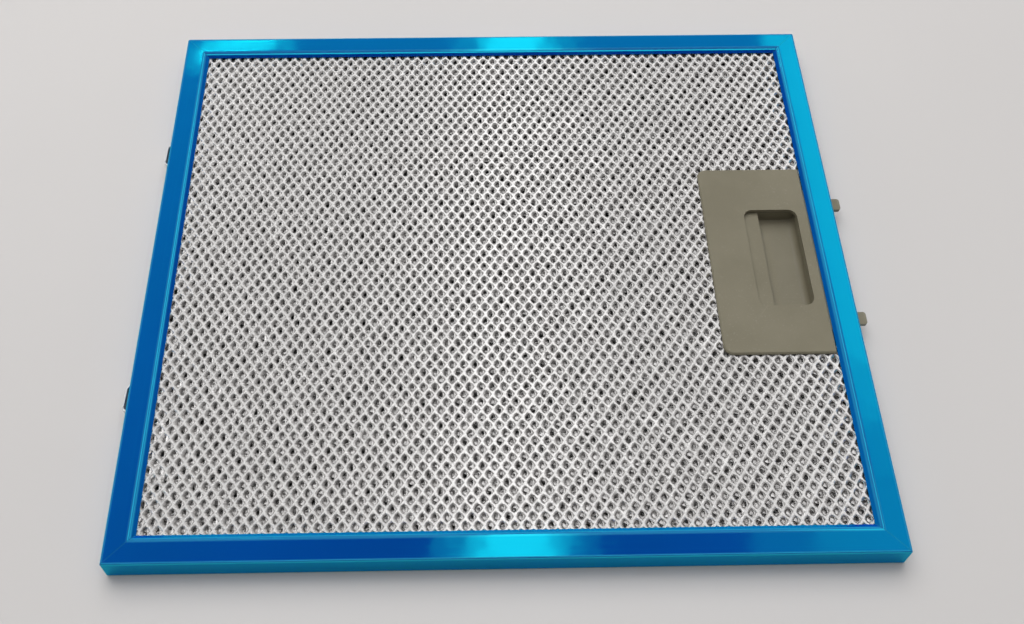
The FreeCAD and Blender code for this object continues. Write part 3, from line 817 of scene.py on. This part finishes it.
def expanded_sheet(node, seed, turn, shift, material, face_down=False, shouldered=True):
    """One layer of slit and expanded foil: thin crests round staggered holes that dip to one side."""
    rng = np.random.default_rng(seed)
    low, high = box_mm(node)
    crest_level = high[2] - CREST_DEPTH
    spread = sheet_layout(seed + DRIFT_SEED, turn, shift)
    cells = sheet_cells(high, spread)
    total = len(cells)
    around = cells[:, None, :] + np.array(AROUND)[None]
    keys, border = np.unique(around.reshape(-1, 2), axis=0, return_inverse=True)
    border = border.reshape(total, 8)
    x, y, lift = spread(keys[:, 0], keys[:, 1])
    level = crest_level + lift + rng.uniform(-CREST_JITTER, CREST_JITTER, len(keys))
    crests = np.stack([x, y, level], 1)
    rings = hole_rings(rng, crest_level, *spread(cells[:, 0], cells[:, 1]), shouldered)
    bonds = keys[:, 0] % 2 == 0
    undersides = crests[bonds] - [0, 0, HOLE_DROP + FOIL]
    stacks = [crests, *(ring.reshape(-1, 3) for ring in rings), undersides]
    starts = np.cumsum([0, *(len(stack) for stack in stacks)])
    ring_starts, under_start = starts[1:len(rings) + 1], starts[len(rings) + 1]
    loops = [border, *(start + np.arange(total * 8).reshape(total, 8) for start in ring_starts)]
    under = under_start + (np.cumsum(bonds) - 1)[border[:, ::2]]
    faces = sheet_faces(loops, under)
    points = np.concatenate(stacks)
    if face_down:
        points[:, 2] = low[2] + high[2] - points[:, 2]
        faces = [face[::-1] for face in faces]
    # Crest whitening by ring, partly a painted highlight
    ring_shares = [SHOULDER_WHITE, RIM_WHITE] if shouldered else [BARE]
    shares = [np.ones(len(crests)), *(np.tile(ring, total) for ring in ring_shares),
              np.zeros(len(undersides))]
    name = node + "_expanded"
    piece = install(name, new_mesh(name, points.tolist(), faces), material, node)
    write_mask(piece, "crest", np.concatenate(shares))
    keep_edges_crisp(piece, MESH_CRISP)


# Latch and springs


def moulded(node, body, width, steps):
    """A latch moulding with the CAD piece's form and softly rounded edges."""
    name = node + "_moulded"
    shape = bmesh.new()
    shape.from_mesh(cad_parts[node].data)
    bmesh.ops.remove_doubles(shape, verts=shape.verts, dist=WELD * MM)
    bmesh.ops.dissolve_limit(shape, angle_limit=math.radians(SAME_FACE),
                             verts=shape.verts, edges=shape.edges)
    bmesh.ops.recalc_face_normals(shape, faces=shape.faces)
    mesh = bpy.data.meshes.new(name)
    shape.to_mesh(mesh)
    shape.free()
    piece = install(name, mesh, PLASTIC, node, body)
    soften_edges(piece, width, steps)


def return_spring(node):
    """A wire coil between the housing and the slider, built at one length; on the real latch it shortens as
    the latch is pulled.
    """
    low, high = box_mm(node)
    middle = (low + high) / 2
    count = COIL_TURNS * COIL_STEPS
    start, end = low[0] + COIL_WIRE, high[0] - COIL_WIRE
    points, faces, run = [], [], []
    for step in range(count + 1):
        turn = 2 * math.pi * step / COIL_STEPS
        t = step / count
        # The end turns lie closed, the middle ones open
        along = start + (end - start) * (t - COIL_CLOSING * math.sin(2 * math.pi * t))
        outward = np.array([0, math.cos(turn), math.sin(turn)])
        centre = np.array([along, middle[1], middle[2]]) + outward * COIL_RADIUS
        for side in range(COIL_SIDES):
            angle = 2 * math.pi * side / COIL_SIDES
            off = outward * math.cos(angle) + np.array([1, 0, 0]) * math.sin(angle)
            points.append(tuple(centre + COIL_WIRE * off))
            run.append((step * COIL_STEP_RUN, side * COIL_SIDE_RUN, 0.0))
    for step in range(count):
        for side in range(COIL_SIDES):
            n = (side + 1) % COIL_SIDES
            a, b = step * COIL_SIDES, (step + 1) * COIL_SIDES
            faces.append((a + side, b + side, b + n, a + n))
    faces.append(tuple(range(COIL_SIDES)))
    faces.append(tuple(count * COIL_SIDES + side for side in reversed(range(COIL_SIDES))))
    name = node + "_wire"
    piece = install(name, new_mesh(name, points, faces), STEEL, node)
    write_run(piece, run)
    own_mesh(piece)


def leaf_spring(node):
    """A bowed strip that reaches farthest near its near end, with two tails behind the wall."""
    low, high = box_mm(node)
    behind = high[0] - LEAF_THICKNESS / 2
    crest = -HALF_WIDTH - LEAF_REACH + LEAF_THICKNESS / 2
    near, far = low[1] + LEAF_TAIL, high[1] - LEAF_TAIL
    # Each bend has its own radius, as its third value
    bends = [(behind, far, 1.0), (crest + LEAF_SAG, far - LEAF_FAR_KNEE, 2.2),
             (crest, near + LEAF_NEAR_KNEE, 1.0), (behind, near, 1.2)]
    route = np.array(rounded_route([(behind, high[1]), *bends, (behind, low[1])], LEAF_STEPS))
    ahead = np.gradient(route, axis=0)
    ahead /= np.linalg.norm(ahead, axis=1)[:, None]
    aside = np.stack([-ahead[:, 1], ahead[:, 0]], 1) * LEAF_THICKNESS / 2
    travelled = np.concatenate([[0], np.cumsum(np.linalg.norm(np.diff(route, axis=0), axis=1))])
    points, run, faces = [], [], []
    for place, off, gone in zip(route, aside, travelled):
        leant = np.array([behind + (place[0] - behind) * LEAF_LEAN, place[1]])
        for x, y, z in ((*(place - off), low[2]), (*(place + off), low[2]),
                        (*(leant + off), high[2]), (*(leant - off), high[2])):
            points.append((x, y, z))
            run.append((gone, z, 0.0))
    for i in range(len(route) - 1):
        for k in range(4):
            n = (k + 1) % 4
            faces.append((4 * i + k, 4 * i + n, 4 * i + 4 + n, 4 * i + 4 + k))
    last = 4 * (len(route) - 1)
    faces.append((3, 2, 1, 0))
    faces.append((last, last + 1, last + 2, last + 3))
    name = node + "_strip"
    piece = install(name, new_mesh(name, points, faces), STEEL, node)
    write_run(piece, run)
    face_outward(piece)
    soften_edges(piece, LEAF_EDGE, steps=2, degrees=50.0)


frame_channel()
# The inner layers lie turned against each other, so that their holes do not line up
expanded_sheet("front_mesh", seed=11, turn=0.1, shift=(0.4, 0.9), material=FACE_FOIL)
expanded_sheet("inner_mesh_3", seed=23, turn=88.0, shift=(1.7, 2.3), material=SHADED_INNER_FOIL, shouldered=False)
expanded_sheet("inner_mesh_2", seed=37, turn=19.0, shift=(-0.8, 1.2), material=SHADED_INNER_FOIL, shouldered=False)
expanded_sheet("inner_mesh_1", seed=41, turn=-71.0, shift=(1.1, -1.9), material=SHADED_INNER_FOIL, shouldered=False)
expanded_sheet("back_mesh", seed=53, turn=0.6, shift=(0.2, -0.7), material=FACE_FOIL, face_down=True)
moulded("latch_housing", "filter", width=0.3, steps=3)
moulded("latch_slider", "slider", width=0.25, steps=3)
moulded("latch_back_cover", "filter", width=0.25, steps=2)
for spring in ("latch_spring_far", "latch_spring_near"):
    return_spring(spring)
for leaf in ("leaf_spring_far", "leaf_spring_near"):
    leaf_spring(leaf)


# Table, light and camera


def table_top():
    """A pale table with a faint tone change, which runs into the pale backdrop far from the filter."""
    material, nodes, shader = finish("pale_table", {"Roughness": 0.7, "Emission Strength": 1.0})
    place = nodes.add("ShaderNodeTexCoord").outputs["Object"]
    cloud = nodes.between(nodes.noise(place, 3.0, 2.0), 0.3, 0.7)
    away = nodes.add("ShaderNodeVectorMath", {0: place}, operation="LENGTH").outputs["Value"]
    path = nodes.add("ShaderNodeLightPath").outputs
    seen = nodes.math("MAXIMUM", path["Is Camera Ray"], path["Is Glossy Ray"])
    haze = nodes.math("MULTIPLY", nodes.between(away, HAZE_START, HAZE_END), seen)
    feed(nodes, shader, Base_Color=nodes.blend(cloud, (0.655, 0.635, 0.625, 1), (0.68, 0.66, 0.65, 1)),
         Emission_Color=nodes.blend(haze, (0, 0, 0, 1), (0.38, 0.372, 0.366, 1)))
    mesh = bpy.data.meshes.new("table_top")
    corners = ((-1, -1), (1, -1), (1, 1), (-1, 1))
    mesh.from_pydata([(x * TABLE_REACH, y * TABLE_REACH, TABLE_LEVEL) for x, y in corners],
                     [], [(0, 1, 2, 3)])
    mesh.materials.append(material)
    table = bpy.data.objects.new("table_top", mesh)
    bpy.context.scene.collection.objects.link(table)


def soft_panel(name, place, aim, size, radiance):
    """A soft studio panel of even brightness."""
    lamp = bpy.data.lights.new(name, "AREA")
    lamp.shape = "RECTANGLE"
    lamp.size, lamp.size_y = size
    lamp.energy = radiance * math.pi * size[0] * size[1]
    panel = bpy.data.objects.new(name, lamp)
    panel.location = place
    panel.rotation_euler = (Vector(aim) - Vector(place)).to_track_quat("-Z", "Y").to_euler()
    bpy.context.scene.collection.objects.link(panel)
    return panel


def direction(azimuth, elevation, distance):
    """A place at a distance from the filter's centre, by its angles in degrees."""
    a, e = math.radians(azimuth), math.radians(elevation)
    level = distance * math.cos(e)
    return (level * math.cos(a), level * math.sin(a), distance * math.sin(e))


def room():
    """A room with a pale backdrop low down all round, and a dimmer glow below the ceiling on the far side."""
    world = bpy.data.worlds.new("studio")
    world.use_nodes = True
    nodes = Nodes(world.node_tree)
    sky = nodes.add("ShaderNodeSeparateXYZ", {0: nodes.add("ShaderNodeTexCoord").outputs["Generated"]})
    above_furniture = nodes.between(sky.outputs["Z"], 0.48, 0.68, 0.25, 1.0)
    below_ceiling = nodes.between(sky.outputs["Z"], 0.68, 0.95, 0.37, 0.075)
    farther = nodes.between(sky.outputs["Y"], -0.5, 0.1, 0.08, 1.0)
    strength = nodes.math("MULTIPLY", nodes.math("MULTIPLY", above_furniture, below_ceiling), farther)
    pale_backdrop = nodes.between(sky.outputs["Z"], 0.25, 0.45, 0.5, 0.0)
    strength = nodes.math("ADD", strength, pale_backdrop)
    background = nodes.tree.nodes["Background"]
    nodes.tree.links.new(strength, background.inputs["Strength"])
    background.inputs["Color"].default_value = (1.0, 0.98, 0.965, 1)
    bpy.context.scene.world = world


def lamps():
    """Soft light from the far side, and panels that the film and the mesh reflect."""
    key = soft_panel("key_panel", direction(108, 60, 1.7), FILTER_CENTRE, size=(1.6, 1.4), radiance=2.6)
    overhead = soft_panel("overhead_fill", direction(90, 84, 1.8), FILTER_CENTRE,
                          size=(1.8, 1.4), radiance=1.1)
    for panel in (key, overhead):
        panel.visible_glossy = False
    # Behind the camera, for the bright line along the front bend
    soft_panel("front_panel", direction(270, 72, 1.5), FILTER_CENTRE, size=(1.6, 0.35), radiance=1.3)
    # Lamps that overlap stand LAMP_STEP apart, because the reflections of lamps in one plane do not add up.
    # The light on the right falls off in steps towards the front
    for i, (left, near, far, radiance) in enumerate(RIGHT_PANELS):
        x, y = (left + RIGHT_PANEL_EDGE) / 2, (near + far) / 2
        soft_panel(f"right_panel_{i}", (x, y, RIGHT_PANEL_HEIGHT + LAMP_STEP * i), (x, y, 0),
                   (RIGHT_PANEL_EDGE - left, far - near), radiance)
    # The strip along the ceiling is brightest along its middle
    for i, (width, radiance) in enumerate(STRIPS):
        strip = soft_panel(f"ceiling_strip_{i}", (STRIP_X, STRIP_Y, STRIP_HEIGHT + LAMP_STEP * i),
                           (STRIP_X, STRIP_Y, 0), (width, STRIP_LENGTH), radiance)
        strip.rotation_euler.z = math.radians(STRIP_TURN)
    # A window whose reflection lies on the far side's left end, with a brighter line across it
    soft_panel("window_glow", WINDOW, FAR_SIDE_LEFT_END, size=(0.21, 0.05), radiance=0.6)
    ahead_of_glow = Vector(WINDOW).lerp(Vector(FAR_SIDE_LEFT_END), GLINT_AHEAD)
    soft_panel("window_glint", ahead_of_glow, FAR_SIDE_LEFT_END, size=(0.15, 0.006), radiance=9.0)


def photo_camera():
    """The photograph's camera, solved from the perspective of the frame."""
    azimuth, pitch, roll = (math.radians(v) for v in (CAMERA_AZIMUTH, CAMERA_PITCH, CAMERA_ROLL))
    level = math.cos(pitch)
    ahead = Vector((math.sin(azimuth) * level, math.cos(azimuth) * level, -math.sin(pitch)))
    right = Vector((math.cos(azimuth), -math.sin(azimuth), 0))
    down = ahead.cross(right)
    turned_right = right * math.cos(roll) + down * math.sin(roll)
    turned_down = down * math.cos(roll) - right * math.sin(roll)
    lens = bpy.data.cameras.new("photo_camera")
    lens.sensor_width = SENSOR_WIDTH
    lens.lens = FOCAL_LENGTH
    lens.shift_x, lens.shift_y = LENS_SHIFT
    lens.clip_start = NEAREST_SEEN
    camera = bpy.data.objects.new("photo_camera", lens)
    basis = Matrix((turned_right, -turned_down, -ahead)).transposed()
    camera.matrix_world = Matrix.Translation(CAMERA_PLACE) @ basis.to_4x4()
    bpy.context.scene.collection.objects.link(camera)
    bpy.context.scene.camera = camera


table_top()
room()
lamps()
photo_camera()
bpy.context.scene.view_settings.view_transform = "Standard"
